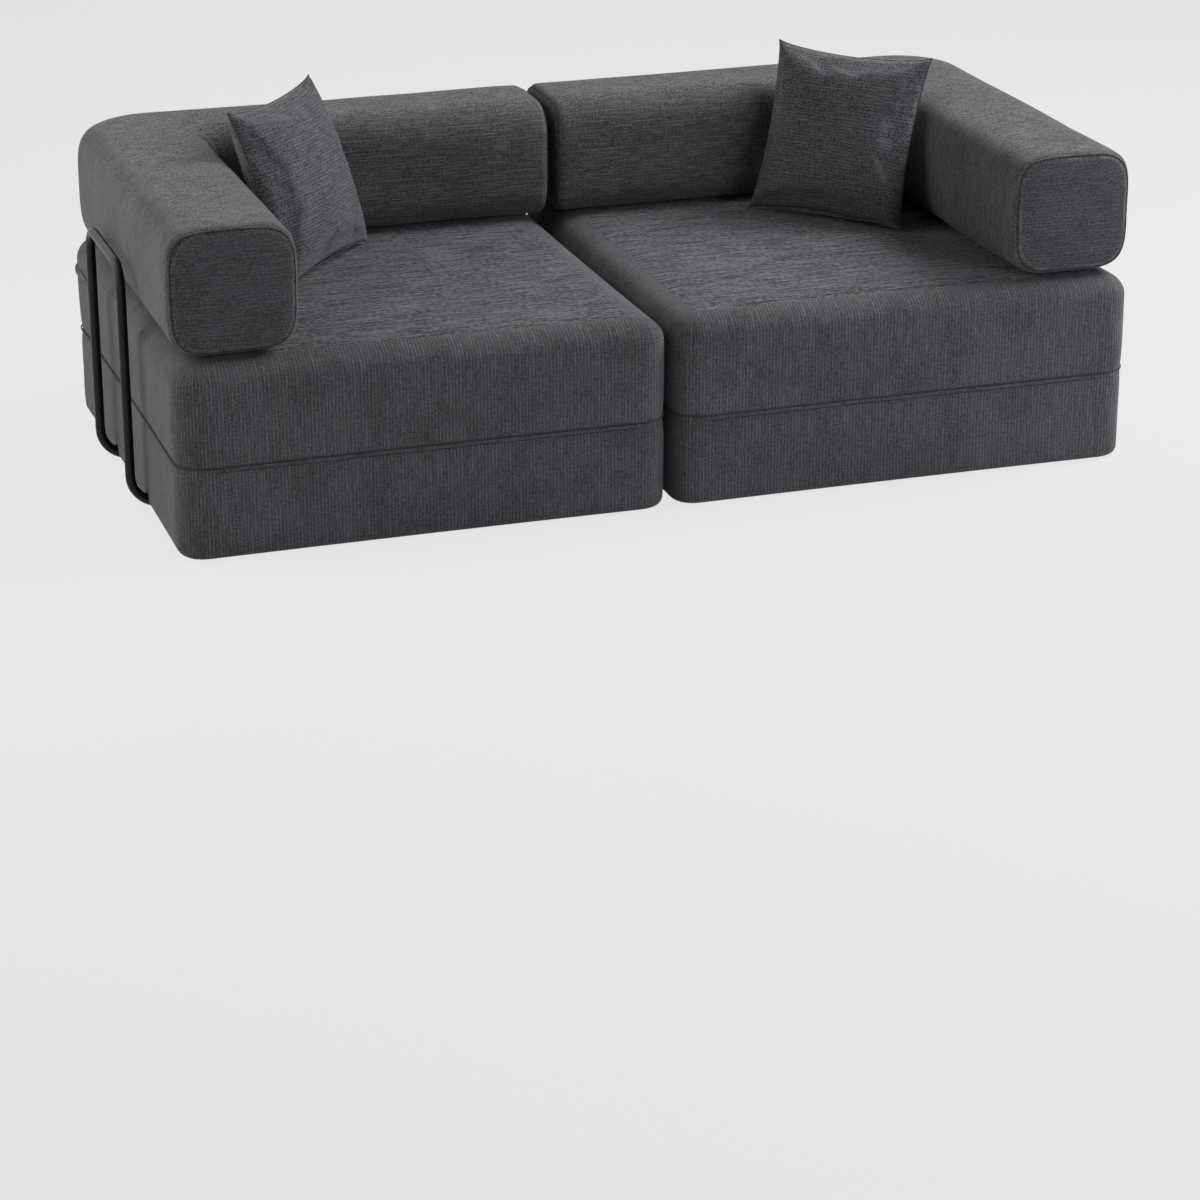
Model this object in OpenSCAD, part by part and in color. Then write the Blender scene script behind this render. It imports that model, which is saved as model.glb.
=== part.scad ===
/* [Modules] */
// Width of one half of the sofa bed
module_w = 1020; // [900:10:1150]
// Depth of one half, front face to back face
module_d = 1060; // [960:10:1180]
// Gap between the two halves
module_gap = 8; // [4:1:20]
// Radius of the upright corners of the cushions, seen from above
corner_r = 58; // [45:1:80]
// How far the long sides draw in between the corners
side_draw = 3; // [1:0.5:4]

/* [Base cushion] */
// Height of the lower cushion
base_h = 192; // [170:2:230]
// Rounding of its bottom edge
base_bottom_r = 16; // [8:1:40]
// Rounding of its top edge
base_top_r = 16; // [12:1:24]
// Thickness of the anti-slip cloth under it
panel_t = 1.2; // [0.8:0.1:2]

/* [Seat cushion] */
// Height of the upper cushion at the middle of its crown
seat_h = 212; // [180:2:240]
// Rise of the crown above the edge
seat_crown = 10; // [6:1:14]
// Rounding of its top edge
seat_top_r = 42; // [30:1:50]
// Width of the slope from the edge rounding up to the flat of the crown
crown_w = 64; // [50:2:90]
// Height of the zip line as a share of the seat cushion
zip_line_share = 0.57; // [0.5:0.01:0.65]
// Height of the flap over the zip
flap_h = 18; // [12:1:26]
// Thickness of the flap
flap_t = 2; // [1.5:0.1:2.5]
// Length of the flap round each rear corner
flap_wrap = 205; // [120:5:260]

/* [Bolster] */
// Thickness of the bolster, front to back
bolster_t = 268; // [220:2:280]
// Height of the bolster
bolster_h = 262; // [220:2:280]
// Rounding of the bolster's long upper edges
bolster_top_r = 64; // [50:1:74]
// Rounding of the bolster's long lower edges
bolster_low_r = 70; // [66:1:76]
// Rounding of the edges of the two end faces
bolster_end_r = 24; // [16:1:32]
// Radius of the outer corner, seen from above
bolster_corner_r = 140; // [120:5:190]
// Radius of the inner corner
bolster_inner_r = 34; // [20:2:60]
// Set-back of the arm's front end from the cushion's front
arm_set = 30; // [10:2:60]
// Set-in of the bolster from the cushion's back
back_set = 4; // [3:1:8]

/* [Pillow] */
// Size of the pillow over its corners
pillow_w = 380; // [360:5:400]
// Thickness of the pillow at its middle
pillow_t = 148; // [110:2:160]
// Share by which the sides of the pillow draw in
pillow_draw_share = 0.07; // [0.04:0.01:0.1]
// Lean of the pillow from upright
pillow_lean = 20; // [16:1:21]
// Turn of the pillow towards the middle
pillow_turn = 50; // [48:1:52]
// Gap between the pillow's corner and the arm
pillow_arm_gap = 12; // [2:1:40]

/* [Brackets] */
// Diameter of the bracket tube
tube_d = 20; // [16:1:22]
// Wall of the bracket tube
tube_wall = 1.5; // [1:0.1:2.5]
// Width of a bracket over its uprights
bracket_w = 336; // [280:4:360]
// Height of a back bracket
back_bracket_h = 488; // [470:2:490]
// Height of a side bracket
side_bracket_h = 524; // [480:2:540]
// Radius of the tube's upper corners, at the tube's centre line
bracket_corner_r = 52; // [40:1:70]
// Radius of the bend at the floor, at the tube's centre line
foot_bend_r = 62; // [50:1:66]
// Length of the straight feet under the cushion
foot_l = 235; // [200:5:280]
// Gap between a side bracket and the cushion
side_gap = 18; // [4:0.5:24]
// Gap between a back bracket and the cushion
back_gap = 8; // [8:0.5:12]
// Distance of a side bracket's middle from the cushion's back
side_bracket_back = 552; // [400:2:600]

/* [Hidden] */

// Clearance between soft pieces that rest on each other
soft_clear = 0.4;
// Clearance round a foam block in its cover
foam_clear = 0.3;
// Running clearance of the bracket feet in their channels
slot_clear = 0.8;
// Overrun of every cut past the surface it cuts
over = 1;
// Thickness of cover and fibre wrap over the foam of the cushions
wrap_t = 30;
// Thickness of cover and fibre wrap over the foam of the bolster
bolster_wrap_t = 34;
// Radius of the zip coil, and its clearance in the groove
coil_r = 2.5;
coil_clear = 0.3;
// Depth of a zip coil's middle below the cloth
coil_sink = 1.5;
// Distance of a zip's ends from the upright corners of its cushion
zip_end = 60;
// Radius of the rolled seam that joins the two cushions
seam_r = 3.4;
// Height of the base cushion's zip as a share of that cushion
base_zip_share = 0.66;
// Height of the bolster's zip above its underside as a share of its height
bolster_zip_share = 0.5;
// Clearance between the pillow and the bolster that it leans on
pillow_clear = 0.6;
// Half thickness of the pillow's edge
pillow_thin = 2.4;
// How steeply the pillow rises from its edge: lower is fuller
pillow_power = 0.55;
// Size of the filling as a share of the pillow's size and thickness
pillow_fill_share = 0.55;
// Length of the pillow's zip as a share of its size, and the zip's radius
pillow_zip_share = 0.62;
pillow_zip_r = 1.4;
// Head and stem of the plugs in the feet, and the stem's clearance in the tube
plug_t = 3;
plug_stem = 14;
plug_clear = 0.1;
// Smallest plan radius of a ring that is drawn in from the edge
ring_min_r = 12;

// Steps round a corner, and points along a side, of a cushion's ring
corner_n = 5;
side_n = 3;
// Steps round an edge rounding
edge_n = 4;
// Steps round the bolster's section corner and round its bend
section_n = 4;
bend_n = 7;
// Stations along the straight parts of the bolster
straight_shares = [0.35, 0.7];
// Cells across one face of the pillow
pillow_n = 12;

tube_r = tube_d / 2;
foot_z = tube_r + slot_clear / 2;
seat_z = base_h + soft_clear;
seat_edge_h = seat_h - seat_crown;
bolster_z = seat_z + seat_h + soft_clear;
zip_z = seat_z + zip_line_share * seat_h;
coil_y = module_d - side_draw / 2 - coil_sink;
back_reach = module_d + back_gap + tube_d;
centre_y = back_reach / 2;
foot_pitch = bracket_w - tube_d;

cover_grey = [0.21, 0.21, 0.22];
foam_cream = [0.93, 0.89, 0.74];
zip_black = [0.06, 0.06, 0.065];
tube_black = [0.04, 0.04, 0.045];
plug_black = [0.09, 0.09, 0.09];
panel_dark = [0.12, 0.12, 0.125];

// Point on a circle
function on_circle(c, r, a) = [c[0] + r * cos(a), c[1] + r * sin(a)];

// Corner centres of a w by d rectangle with corner radius r, counter-clockwise from the far right
function centres(w, d, r) = [[w - r, d - r], [r, d - r], [r, r], [w - r, r]];

// Outline of a cushion, inset from its widest outline, with its sides drawn in between the corners
function outline(inset, draw = side_draw) =
    let (r = max(corner_r - inset, ring_min_r))
    let (w = module_w - 2 * inset, d = module_d - 2 * inset)
    let (c = centres(w, d, r))
    [for (q = [0:3])
        let (from = on_circle(c[q], r, 90 * (q + 1)))
        let (to = on_circle(c[(q + 1) % 4], r, 90 * (q + 1)))
        let (inward = [-cos(90 * (q + 1)), -sin(90 * (q + 1))])
        each concat(
            [for (i = [0:corner_n]) on_circle(c[q], r, 90 * (q + i / corner_n)) + [inset, inset]],
            [for (i = [1:side_n])
                let (f = i / (side_n + 1))
                from + (to - from) * f + inward * draw * 4 * f * (1 - f) + [inset, inset]])];

// Rings of a rounding of radius r: pairs of inset and height, from the flat face to the side
function edge_rings(r, n = edge_n) = [for (i = [0:n]) [r * (1 - sin(90 * i / n)), r * (1 - cos(90 * i / n))]];

// The same rings turned over, so that they end at height h
function top_rings(r, h, n = edge_n) = [for (i = [n:-1:0]) let (e = edge_rings(r, n)[i]) [e[0], h - e[1]]];

// Triangles that skin m rings of n points each, with a fan round the middle of the first and last ring
function skin_faces(m, n) = concat(
    [for (k = [0:m - 2]) for (i = [0:n - 1])
        let (a = k * n + i, b = k * n + (i + 1) % n)
        each [[a, a + n, b], [b, a + n, b + n]]],
    [for (i = [0:n - 1]) [m * n, i, (i + 1) % n]],
    [for (i = [0:n - 1]) let (t = (m - 1) * n) [m * n + 1, t + (i + 1) % n, t + i]]);

// Mean of a ring's points
function middle(ring) = [for (k = [0:2]) [for (p = ring) p[k]] * [for (p = ring) 1 / len(ring)]];

// Closed form through rings that all have the same number of points
module skin(rings) {
    polyhedron(
        points = concat([for (ring = rings) each ring],
            [middle(rings[0]), middle(rings[len(rings) - 1])]),
        faces = skin_faces(len(rings), len(rings[0])));
}

// Cushion form: each profile entry is an inset and a height
module cushion_form(profile) {
    skin([for (p = profile) [for (q = outline(p[0])) [q[0], q[1], p[1]]]]);
}

// Foam slab with rounded upright corners, grown by g on every side
module slab(h, g) {
    x = wrap_t - g;
    r = corner_r - x;
    w = module_w - 2 * x;
    d = module_d - 2 * x;
    translate([x, x, wrap_t - g]) linear_extrude(h - 2 * wrap_t + 2 * g) union() {
        translate([r, 0]) square([w - 2 * r, d]);
        translate([0, r]) square([w, d - 2 * r]);
        for (c = centres(w, d, r)) translate(c) circle(r = r, $fn = 48);
    }
}

// Height at which the inner side of a foot bend leaves the cushion's face
function bend_leave(gap) =
    let (deep = foot_bend_r - gap - tube_r)
    foot_z + foot_bend_r - sqrt(pow(foot_bend_r - tube_r, 2) - pow(deep, 2));

// Room for one pair of feet that run inwards along -X from a face at x, grown by g
module foot_room(x, y_mid, gap, g) {
    half = tube_r + slot_clear + g;
    low_l = foot_bend_r + foot_l + plug_t + slot_clear + g - gap - tube_r;
    tall_l = foot_bend_r - gap - tube_r + slot_clear + g;
    for (side = [-1, 1]) translate([x, y_mid + side * foot_pitch / 2, -over]) {
        translate([-low_l, -half, 0])
            cube([low_l + over, 2 * half, foot_z + tube_r + slot_clear + g + over]);
        translate([-tall_l, -half, 0])
            cube([tall_l + over, 2 * half, bend_leave(gap) + slot_clear + g + over]);
    }
}

// Room for the feet of both brackets of one half
module feet_rooms(g) {
    foot_room(module_w, module_d - side_bracket_back, side_gap, g);
    translate([module_w / 2, module_d, 0]) rotate(90) foot_room(0, 0, back_gap, g);
}

// Straight round rod along X between two places
module rod_x(x0, x1, y, z, r) {
    translate([x0, y, z]) rotate([0, 90, 0]) cylinder(r = r, h = x1 - x0, $fn = 24);
}

module zip_rod(y, z, r) {
    rod_x(corner_r + zip_end - (r - coil_r), module_w - corner_r - zip_end + (r - coil_r), y, z, r);
}

module base_cover() {
    color(cover_grey) difference() {
        translate([0, 0, panel_t])
            cushion_form(concat(
                edge_rings(base_bottom_r),
                top_rings(base_top_r, base_h - panel_t)));
        difference() {
            slab(base_h, foam_clear);
            feet_rooms(panel_t + foam_clear);
        }
        feet_rooms(0);
        zip_rod(coil_y, base_zip_share * base_h, coil_r + coil_clear);
    }
}

module base_foam() {
    color(foam_cream) difference() {
        slab(base_h, 0);
        feet_rooms(panel_t + 2 * foam_clear);
    }
}

module base_panel() {
    color(panel_dark) difference() {
        linear_extrude(panel_t) polygon(outline(base_bottom_r));
        feet_rooms(0);
    }
}

module base_zip() {
    color(zip_black) zip_rod(coil_y, base_zip_share * base_h, coil_r);
}

module seat_cover() {
    color(cover_grey) difference() {
        translate([0, 0, seat_z]) cushion_form(concat(
            edge_rings(base_top_r),
            top_rings(seat_top_r, seat_edge_h),
            [[seat_top_r + crown_w / 2, seat_edge_h + seat_crown * sin(60)],
             [seat_top_r + crown_w, seat_h]]));
        translate([0, 0, seat_z]) slab(seat_edge_h, foam_clear);
        zip_rod(coil_y, zip_z, coil_r + coil_clear);
    }
}

module seat_foam() {
    color(foam_cream) translate([0, 0, seat_z]) slab(seat_edge_h, 0);
}

// The rolled seam lies in the crease between the two cushions' rounded edges
module hinge_seam() {
    reach = base_top_r + soft_clear + seam_r;
    half_gap = base_top_r + soft_clear / 2;
    y = base_top_r - sqrt(pow(reach, 2) - pow(half_gap, 2));
    color(cover_grey) rod_x(corner_r, module_w - corner_r, y, base_h + soft_clear / 2, seam_r);
}

// Band of cloth over the zip, along the back and round both rear corners
module zip_flap() {
    color(cover_grey) translate([0, 0, zip_z + coil_r + coil_clear]) linear_extrude(flap_h) intersection() {
        difference() {
            polygon(outline(-flap_t));
            polygon(outline(0));
        }
        translate([-over - flap_t, module_d - flap_wrap])
            square([module_w + 2 * (over + flap_t), flap_wrap + over + flap_t]);
    }
}

module seat_zip() {
    color(zip_black) zip_rod(coil_y, zip_z, coil_r);
}

// Section of the bolster, w wide, inset all round: pairs of place across and height
function section(w, inset) =
    let (ru = bolster_top_r - inset, rl = bolster_low_r - inset)
    let (x0 = inset, x1 = w - inset, z0 = inset, z1 = bolster_h - inset)
    let (c = [[x1 - ru, z1 - ru], [x0 + ru, z1 - ru], [x0 + rl, z0 + rl], [x1 - rl, z0 + rl]])
    let (r = [ru, ru, rl, rl])
    [for (q = [0:3]) for (i = [0:section_n]) on_circle(c[q], r[q], 90 * (q + i / section_n))];

// Stations of the bolster: an inner point, an outer point and the section's inset
function stations() =
    let (xi = module_w - bolster_t, xo = module_w)
    let (yo = module_d - back_set, yi = yo - bolster_t)
    let (arm_top = yi - bolster_inner_r, back_top = xi - bolster_inner_r)
    let (ends = edge_rings(bolster_end_r))
    concat(
        [for (e = ends) [[xi, arm_set + e[1]], [xo, arm_set + e[1]], e[0]]],
        [for (s = straight_shares)
            let (y = arm_set + s * (arm_top - arm_set)) [[xi, y], [xo, y], 0]],
        [for (k = [0:bend_n])
            let (a = 90 * k / bend_n)
            [on_circle([back_top, arm_top], bolster_inner_r, a),
             on_circle([xo - bolster_corner_r, yo - bolster_corner_r], bolster_corner_r, a), 0]],
        [for (s = straight_shares)
            let (x = back_top * (1 - s)) [[x, yi], [x, yo], 0]],
        [for (k = [edge_n:-1:0])
            let (e = ends[k]) [[e[1], yi], [e[1], yo], e[0]]]);

function station_ring(s) =
    let (w = norm(s[1] - s[0]), u = (s[1] - s[0]) / w)
    [for (p = section(w, s[2])) let (q = s[0] + u * p[0]) [q[0], q[1], bolster_z + p[1]]];

// Plan of the bolster's foam, grown by g
module foam_plan(g) {
    x = bolster_wrap_t - g;
    r = bolster_corner_r - x;
    back = module_d - back_set;
    cx = module_w - bolster_corner_r;
    cy = back - bolster_corner_r;
    t = bolster_t - 2 * x;
    translate([module_w - bolster_t + x, arm_set + x]) square([t, cy - arm_set - x]);
    translate([x, back - bolster_t + x]) square([cx - x, t]);
    translate([module_w - bolster_t + x, back - bolster_t + x])
        square([cx - module_w + bolster_t - x, cy - back + bolster_t - x]);
    translate([cx, cy]) circle(r = r, $fn = 64);
}

module bolster_block(g) {
    translate([0, 0, bolster_z + bolster_wrap_t - g])
        linear_extrude(bolster_h - 2 * bolster_wrap_t + 2 * g)
            union() { foam_plan(g); }
}

bolster_zip_y = module_d - back_set - coil_sink;

module bolster_zip_rod(r) {
    rod_x(corner_r + zip_end - (r - coil_r),
        module_w - bolster_corner_r - zip_end + (r - coil_r),
        bolster_zip_y, bolster_z + bolster_zip_share * bolster_h, r);
}

module bolster_cover() {
    color(cover_grey) difference() {
        skin([for (k = [len(stations()) - 1:-1:0]) station_ring(stations()[k])]);
        bolster_block(foam_clear);
        bolster_zip_rod(coil_r + coil_clear);
    }
}

module bolster_foam() {
    color(foam_cream) bolster_block(0);
}

module bolster_zip() {
    color(zip_black) bolster_zip_rod(coil_r);
}

// Height of the pillow's face above its middle plane, for places from -1 to 1
function pillow_rise(u, v) =
    pillow_thin + (pillow_t / 2 - pillow_thin) * pow(max((1 - u * u) * (1 - v * v), 0), pillow_power);

// Place on the pillow's middle plane, with the sides drawn in between the corners
function pillow_at(u, v) =
    (pillow_w / 2) * [u * (1 - pillow_draw_share * (1 - v * v)), v * (1 - pillow_draw_share * (1 - u * u))];

// Grid share that crowds the cells towards the edges
function crowd(i) = sin(90 * (2 * i / pillow_n - 1));

module pillow_form() {
    m = pillow_n + 1;
    face = function (side) [for (i = [0:pillow_n]) for (j = [0:pillow_n])
        let (u = crowd(i), v = crowd(j), p = pillow_at(u, v))
        [p[0], side * pillow_rise(u, v), p[1]]];
    cells = [for (i = [0:pillow_n - 1]) for (j = [0:pillow_n - 1]) i * m + j];
    rim = concat(
        [for (i = [0:pillow_n - 1]) i * m],
        [for (j = [0:pillow_n - 1]) pillow_n * m + j],
        [for (i = [pillow_n:-1:1]) i * m + pillow_n],
        [for (j = [pillow_n:-1:1]) j]);
    far = m * m;
    polyhedron(
        points = concat(face(-1), face(1)),
        faces = concat(
            [for (a = cells) each [[a, a + 1, a + m], [a + 1, a + m + 1, a + m]]],
            [for (a = cells) each [[far + a, far + a + m, far + a + 1],
                [far + a + 1, far + a + m, far + a + m + 1]]],
            [for (k = [0:len(rim) - 1])
                let (a = rim[k], b = rim[(k + 1) % len(rim)])
                each [[a, b, far + a], [b, far + b, far + a]]]));
}

// How far a quarter rounding of radius r falls back at a distance d from where it begins
function fall_back(r, d) = r - sqrt(r * r - d * d);

// How far the bolster's inner face lies back at height z above its underside
function face_recess(z) =
    z < bolster_low_r ? fall_back(bolster_low_r, bolster_low_r - z)
    : z < bolster_h - bolster_top_r ? 0
    : z < bolster_h ? fall_back(bolster_top_r, z - bolster_h + bolster_top_r)
    : pillow_w;

// Point of the pillow's back face after it leans, measured from the middle of its foot
function leaned(u, v) =
    let (p = pillow_at(u, v), rise = pillow_rise(u, v))
    let (up = p[1] + pillow_w / 2 + pillow_thin * tan(pillow_lean))
    [p[0],
        rise * cos(pillow_lean) + up * sin(pillow_lean),
        up * cos(pillow_lean) - rise * sin(pillow_lean)];

// Reach of the leaning pillow towards a bolster face, given the face's direction along and across it
function pillow_reach(along, across) = max([for (i = [0:pillow_n]) for (j = [0:pillow_n])
    let (q = leaned(crowd(i), crowd(j)))
    q[0] * along + q[1] * across - face_recess(q[2])]);

// Places what is drawn round the pillow's middle in its corner
module pillow_place() {
    x = module_w - bolster_t - pillow_arm_gap
        - pillow_reach(cos(pillow_turn), sin(pillow_turn));
    y = module_d - back_set - bolster_t - pillow_clear
        - pillow_reach(-sin(pillow_turn), cos(pillow_turn));
    translate([x, y, bolster_z])
        rotate(-pillow_turn)
            rotate([-pillow_lean, 0, 0])
                translate([0, 0, pillow_w / 2 + pillow_thin * tan(pillow_lean)])
                    children();
}

module filling_block(g) {
    w = pillow_fill_share * pillow_w + 2 * g;
    t = pillow_fill_share * pillow_t + 2 * g;
    translate([-w / 2, -t / 2, -w / 2]) cube([w, t, w]);
}

module pillow_cover() {
    color(cover_grey) pillow_place() difference() {
        pillow_form();
        filling_block(foam_clear);
        pillow_zip_rod(pillow_zip_r + coil_clear);
    }
}

module pillow_filling() {
    color([0.95, 0.95, 0.93]) pillow_place() filling_block(0);
}

// The zip lies behind the lower edge of the pillow, where its side draws in most
module pillow_zip_rod(r) {
    l = pillow_zip_share * pillow_w;
    rod_x(-l / 2, l / 2, 0, -(pillow_w / 2) * (1 - pillow_draw_share) - coil_clear - pillow_zip_r, r);
}

module pillow_zip() {
    color(zip_black) pillow_place() pillow_zip_rod(pillow_zip_r);
}

// Solid rod of radius r along a bracket of height h: a loop in the YZ plane at x = 0, feet along -X
module bracket_rod(r, h) {
    half = foot_pitch / 2;
    top = h - tube_r;
    for (side = [-1, 1]) {
        translate([0, side * half, foot_z + foot_bend_r])
            cylinder(r = r, h = top - bracket_corner_r - foot_z - foot_bend_r, $fn = 48);
        translate([0, side * (half - bracket_corner_r), top - bracket_corner_r])
            rotate([90, 0, 90]) rotate(side > 0 ? 0 : 90)
                rotate_extrude(angle = 90, $fn = 96) translate([bracket_corner_r, 0]) circle(r = r, $fn = 48);
        translate([-foot_bend_r, side * half, foot_z + foot_bend_r])
            rotate([90, 0, 0]) rotate(270)
                rotate_extrude(angle = 90, $fn = 96) translate([foot_bend_r, 0]) circle(r = r, $fn = 48);
        translate([-foot_bend_r - foot_l, side * half, foot_z])
            rotate([0, 90, 0]) cylinder(r = r, h = foot_l, $fn = 48);
    }
    translate([0, -half + bracket_corner_r, top])
        rotate([-90, 0, 0]) cylinder(r = r, h = 2 * (half - bracket_corner_r), $fn = 48);
}

module bracket(h) {
    color(tube_black) difference() {
        bracket_rod(tube_r, h);
        bracket_rod(tube_r - tube_wall, h);
    }
}

// Plugs in the open ends of the two feet
module bracket_plugs() {
    bore = tube_r - tube_wall - plug_clear;
    color(plug_black) for (side = [-1, 1])
        translate([-foot_bend_r - foot_l, side * foot_pitch / 2, foot_z]) rotate([0, 90, 0]) {
            translate([0, 0, -plug_t]) cylinder(r = tube_r, h = plug_t, $fn = 48);
            cylinder(r = bore, h = plug_stem, $fn = 48);
        }
}

module at_side_bracket() {
    translate([module_w + side_gap + tube_r, module_d - side_bracket_back, 0]) children();
}

module at_back_bracket() {
    translate([module_w / 2, module_d + back_gap + tube_r, 0]) rotate(90) children();
}

// The right half stands beside the middle plane, and the left half is its mirror image
module half(side) {
    mirror([side < 0 ? 1 : 0, 0, 0]) translate([module_gap / 2, -centre_y, 0]) children();
}

half(-1) base_cover();  // left_base_cover
half(-1) base_foam();  // left_base_foam
half(-1) base_panel();  // left_base_panel
half(-1) base_zip();  // left_base_zip
half(-1) seat_cover();  // left_seat_cover
half(-1) seat_foam();  // left_seat_foam
half(-1) hinge_seam();  // left_hinge_seam
half(-1) zip_flap();  // left_zip_flap
half(-1) seat_zip();  // left_seat_zip
half(-1) bolster_cover();  // left_bolster_cover
half(-1) bolster_foam();  // left_bolster_foam
half(-1) bolster_zip();  // left_bolster_zip
half(-1) pillow_cover();  // left_pillow_cover
half(-1) pillow_filling();  // left_pillow_filling
half(-1) pillow_zip();  // left_pillow_zip
half(-1) at_back_bracket() bracket(back_bracket_h);  // left_back_bracket
half(-1) at_back_bracket() bracket_plugs();  // left_back_plugs
half(-1) at_side_bracket() bracket(side_bracket_h);  // left_side_bracket
half(-1) at_side_bracket() bracket_plugs();  // left_side_plugs
half(1) base_cover();  // right_base_cover
half(1) base_foam();  // right_base_foam
half(1) base_panel();  // right_base_panel
half(1) base_zip();  // right_base_zip
half(1) seat_cover();  // right_seat_cover
half(1) seat_foam();  // right_seat_foam
half(1) hinge_seam();  // right_hinge_seam
half(1) zip_flap();  // right_zip_flap
half(1) seat_zip();  // right_seat_zip
half(1) bolster_cover();  // right_bolster_cover
half(1) bolster_foam();  // right_bolster_foam
half(1) bolster_zip();  // right_bolster_zip
half(1) pillow_cover();  // right_pillow_cover
half(1) pillow_filling();  // right_pillow_filling
half(1) pillow_zip();  // right_pillow_zip
half(1) at_back_bracket() bracket(back_bracket_h);  // right_back_bracket
half(1) at_back_bracket() bracket_plugs();  // right_back_plugs
half(1) at_side_bracket() bracket(side_bracket_h);  // right_side_bracket
half(1) at_side_bracket() bracket_plugs();  // right_side_plugs
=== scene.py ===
"""Two-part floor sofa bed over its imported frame: cushions, L-shaped bolsters, pillows, seams and zips.
Lengths are in metres. Every piece is shaped as the right half's, and mirrored for the left half."""

from itertools import product
from math import cos, pi, radians, sin, sqrt

import bpy
import numpy as np
from mathutils import Matrix, Vector


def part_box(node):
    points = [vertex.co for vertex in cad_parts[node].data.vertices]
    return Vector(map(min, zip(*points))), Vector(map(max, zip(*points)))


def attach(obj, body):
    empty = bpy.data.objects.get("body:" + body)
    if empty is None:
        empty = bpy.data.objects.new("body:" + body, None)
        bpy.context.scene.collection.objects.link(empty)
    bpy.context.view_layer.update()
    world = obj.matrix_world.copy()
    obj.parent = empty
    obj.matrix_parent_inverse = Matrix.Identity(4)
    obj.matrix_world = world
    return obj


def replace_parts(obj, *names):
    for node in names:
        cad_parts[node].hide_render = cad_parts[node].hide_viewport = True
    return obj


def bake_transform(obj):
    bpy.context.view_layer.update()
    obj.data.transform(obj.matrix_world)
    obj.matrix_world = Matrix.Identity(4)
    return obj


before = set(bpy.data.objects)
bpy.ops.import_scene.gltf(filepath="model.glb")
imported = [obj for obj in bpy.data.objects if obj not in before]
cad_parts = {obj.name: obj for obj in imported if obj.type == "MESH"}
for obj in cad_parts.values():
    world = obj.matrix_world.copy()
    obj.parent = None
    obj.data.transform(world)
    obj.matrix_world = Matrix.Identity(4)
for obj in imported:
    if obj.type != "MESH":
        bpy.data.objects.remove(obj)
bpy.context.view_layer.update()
scene = bpy.context.scene
SIDES = {"left": -1, "right": 1}

# Sizes that the frame gives
base_lo, base_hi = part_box("right_base_cover")
seat_lo, seat_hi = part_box("right_seat_cover")
bolster_lo, bolster_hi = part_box("right_bolster_cover")
ORIGIN = np.array([base_lo.x, base_lo.y, 0.0])
WIDTH = base_hi.x - base_lo.x
DEPTH = base_hi.y - base_lo.y
BASE_LOW, BASE_TOP = base_lo.z, base_hi.z
SEAT_LOW, SEAT_TOP = seat_lo.z, seat_hi.z
BOLSTER_HALF_H = (bolster_hi.z - bolster_lo.z) / 2
BOLSTER_MID_Z = (bolster_hi.z + bolster_lo.z) / 2
ARM_SET = bolster_lo.y - base_lo.y
BACK_SET = base_hi.y - bolster_hi.y


def mid_z(node):
    lo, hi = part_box(node)
    return (lo.z + hi.z) / 2


BASE_ZIP_Z, SEAT_ZIP_Z, BOLSTER_ZIP_Z = (mid_z("right_%s_zip" % part) for part in ("base", "seat", "bolster"))

# Sizes of the slab cushions
CORNER_R = 0.058
SIDE_DRAW = 0.003
RING_MIN_R = 0.012
BASE_BOTTOM_R = 0.016
CRISP_R = 0.003
SEAT_ROUND = (0.100, 0.054)
CORNER_STEPS, SIDE_STEPS = 8, 71
CAP_STEP, CAP_HOLE = 0.014, 0.016

# How the stuffing lets the slab cushions sink, as pairs of depth and size of the lumps
SIDE_WAVES = ((0.0022, (0.24, 0.24, 0.10)), (0.0010, (0.07, 0.07, 0.05)))
PUCKERS = ((0.0009, (0.022, 0.022, 0.2)),)
FACE_DENTS = ((0.0028, (0.30, 0.26, 9)), (0.0012, (0.10, 0.08, 9)))
SIDE_FALL = 0.005
PUCKER_REACH = 0.016

# Seams, zips and the flap
SEAM_R = 0.0013
SEAM_INSET, SEAM_SINK = 0.0022, 0.0010
SEAM_WOBBLE = 0.0004
ZIP_END = 0.060
ZIP_RINGS = (-0.006, -0.0038, -0.0026, 0, 0.0026, 0.0038, 0.006)
ZIP_FADE = 0.006
GROOVE_HALF, GROOVE_DEPTH = 0.003, 0.0052
COIL_PITCH, COIL_STEPS = 0.0034, 8
COIL_END, COIL_INSET, CORE_INSET = 0.001, 0.0007, 0.0011
WIRE_R = 0.00065
FLAP_WRAP = 0.205
FLAP_T = 0.0042
FLAP_END = 0.012

# Sizes of the L-shaped bolsters
BOLSTER_T = 0.268
BOLSTER_CORNER_R = 0.140
BOLSTER_INNER_R = 0.034
BOLSTER_END_R = 0.026
BOLSTER_POWER = 4.3
END_CROWN = 0.004
CAP_INSET = 0.108
BOLSTER_RING_POINTS = 92
BOLSTER_ZIP_RINGS = (-0.0065, -0.0040, -0.0027, 0.0, 0.0027, 0.0040, 0.0065)
BOLSTER_ZIP_CLEAR = 0.0085
BOLSTER_GROOVE_HALF, BOLSTER_GROOVE_DEPTH = 0.0031, 0.0050
BOLSTER_WAVES = ((0.0034, (0.26, 0.26, 0.14)), (0.0014, (0.09, 0.09, 0.07)))
FOLD_DEPTH, FOLD_PITCH = 0.0042, 0.052
FOLDS_AT, FOLDS_REACH = 0.19, 0.13
END_PUCKER, END_PUCKER_AT, END_PUCKER_REACH = 0.0011, 0.030, 0.020
END_FACE_INSET = 0.012
END_SEAM_INSET, END_SEAM_OUT, END_SEAM_R = 0.0105, 0.0007, 0.0010

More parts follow.
